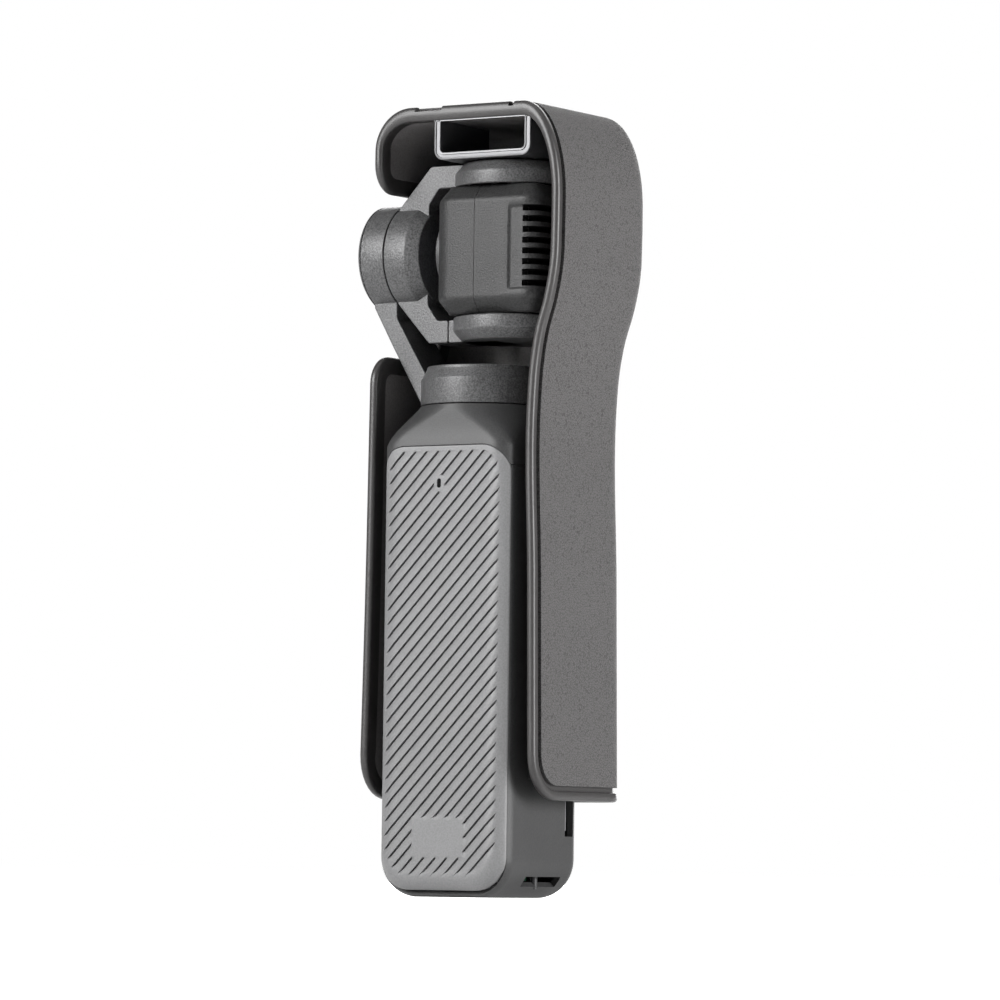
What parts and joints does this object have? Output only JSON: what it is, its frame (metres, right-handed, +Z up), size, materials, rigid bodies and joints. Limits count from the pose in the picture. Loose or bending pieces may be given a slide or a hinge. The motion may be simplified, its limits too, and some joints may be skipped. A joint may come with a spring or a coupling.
{
  "type": "pocket gimbal camera",
  "caption": "Pocket camera with a motor-stabilised head on a slim ribbed handle, standing in a U-shaped protective cover that pulls off towards the screen side.",
  "frame": {"origin": "centre of the handle's flat base, on its resting face", "axes": "+Z up along the handle, -Y to the screen side, +Y to the grip panel, X along the handle's width with the roll motor at +X"},
  "size_m": [0.0465, 0.0375, 0.1503],
  "materials": {
    "arm_metal": "bead-blasted, dark grey",
    "battery_wrap": "film wrap",
    "black_metal": "satin black",
    "black_plastic": "satin",
    "brass": "turned",
    "card_plastic": "moulded",
    "case_plastic": "fine matte",
    "chassis_metal": "cast, bare",
    "circuit_board": "solder mask",
    "copper": "bare sheet",
    "cover_leatherette": "fine leather-like grain",
    "cover_rim": "satin",
    "display": "gloss",
    "front_plastic": "satin",
    "gold_contact": "plated",
    "grip_plastic": "fine matte",
    "head_plastic": "fine matte",
    "joystick_rubber": "soft touch",
    "lens_glass": "coated",
    "light_guide": "clear",
    "magnet": "nickel plated",
    "motor_winding": "enamelled wire on steel",
    "pad_rubber": "matte",
    "red_paint": "gloss",
    "screen_glass": "coated, dark",
    "sink_metal": "black",
    "steel": "bright",
    "stop_metal": "satin with bright edge"
  },
  "bodies": {
    "handle": {"side_frame": "case_plastic", "shoulder_housing": "case_plastic", "grip_panel": "grip_plastic", "front_panel": "front_plastic", "inner_chassis": "chassis_metal", "battery_cell": "battery_wrap", "main_board": "circuit_board", "heat_spreader": "copper", "usb_port": "steel", "base_contacts": "gold_contact", "card_socket": "steel", "speaker": "black_plastic", "microphones": "steel", "status_light": "light_guide", "button_board": "circuit_board", "joystick_base": "black_plastic", "chassis_screws": "steel", "screen_bush": "brass", "pan_stator": "motor_winding", "pan_bearings": "steel", "lanyard_pin": "steel"},
    "screen": {"screen_shell": "black_plastic", "display_panel": "display", "screen_glass": "screen_glass", "screen_clip": "steel"},
    "joystick_outer": {"outer_rocker": "black_plastic"},
    "joystick_inner": {"inner_rocker": "black_plastic"},
    "joystick_cap": {"joystick_cap": "joystick_rubber"},
    "record_button": {"record_button": "black_plastic", "record_dot": "red_paint"},
    "memory_card": {"memory_card": "card_plastic"},
    "pan_arm": {"pan_arm": "arm_metal", "pan_rotor": "magnet", "pan_shaft": "steel", "roll_stator": "motor_winding", "roll_bearings": "steel", "roll_end_cap": "arm_metal"},
    "fork": {"roll_fork": "arm_metal", "tilt_motor_housing": "arm_metal", "roll_rotor": "magnet", "roll_shaft": "steel", "tilt_stator": "motor_winding", "tilt_bearings": "steel"},
    "camera_head": {"head_front_shell": "head_plastic", "head_rear_shell": "head_plastic", "head_heat_sink": "sink_metal", "lens_barrel": "black_metal", "lens_elements": "lens_glass", "front_glass": "lens_glass", "lens_ring": "black_metal", "sensor_board": "circuit_board", "tilt_rotor": "magnet", "tilt_shafts": "steel", "head_screws": "steel"},
    "cover": {"cover_frame": "cover_rim", "cover_skin": "cover_leatherette", "head_stop": "stop_metal", "cover_pads": "pad_rubber"}
  },
  "joints": [
    {"name": "cover_pull", "type": "slide", "parent": "handle", "child": "cover", "axis": [0, -1, 0], "range_m": [0, 0.36]},
    {"name": "pan", "type": "hinge", "parent": "handle", "child": "pan_arm", "pos_m": [0, 0, 0.097], "axis": [0, 0, 1], "range_deg": [-153, 150]},
    {"name": "roll", "type": "hinge", "parent": "pan_arm", "child": "fork", "pos_m": [0.0169, 0, 0.1226], "axis": [1, 0, 0], "range_deg": [-130, 153]},
    {"name": "tilt", "type": "hinge", "parent": "fork", "child": "camera_head", "pos_m": [-0.00677, 0, 0.1226], "axis": [0, 0, 1], "range_deg": [0, 278]},
    {"name": "screen_turn", "type": "hinge", "parent": "handle", "child": "screen", "pos_m": [0, -0.0128, 0.06], "axis": [0, 1, 0], "range_deg": [0, 90.1]},
    {"name": "joystick_tilt_x", "type": "hinge", "parent": "handle", "child": "joystick_outer", "pos_m": [0, -0.012, 0.024], "axis": [1, 0, 0], "range_deg": [-8, 8], "stiffness_Nm_per_rad": 0.002},
    {"name": "joystick_tilt_z", "type": "hinge", "parent": "joystick_outer", "child": "joystick_inner", "pos_m": [0, -0.012, 0.024], "axis": [0, 0, 1], "range_deg": [-8, 8], "stiffness_Nm_per_rad": 0.002},
    {"name": "joystick_press", "type": "slide", "parent": "joystick_inner", "child": "joystick_cap", "axis": [0, 1, 0], "range_m": [0, 0.00035], "stiffness_N_per_m": 3000, "springref_m": -0.0003},
    {"name": "record_press", "type": "slide", "parent": "handle", "child": "record_button", "axis": [0, 1, 0], "range_m": [0, 0.0004], "stiffness_N_per_m": 3000, "springref_m": -0.0003},
    {"name": "card_push", "type": "slide", "parent": "handle", "child": "memory_card", "axis": [-1, 0, 0], "range_m": [-0.0006, 0.0024]}
  ],
  "couplings": [
    {"joint": "pan", "follows": "cover_pull", "rad_per_m": -4.3633},
    {"joint": "roll", "follows": "cover_pull", "rad_per_m": 4.3633},
    {"joint": "tilt", "follows": "cover_pull", "rad_per_m": 8.7266},
    {"joint": "screen_turn", "follows": "cover_pull", "rad_per_m": 4.3633}
  ]
}
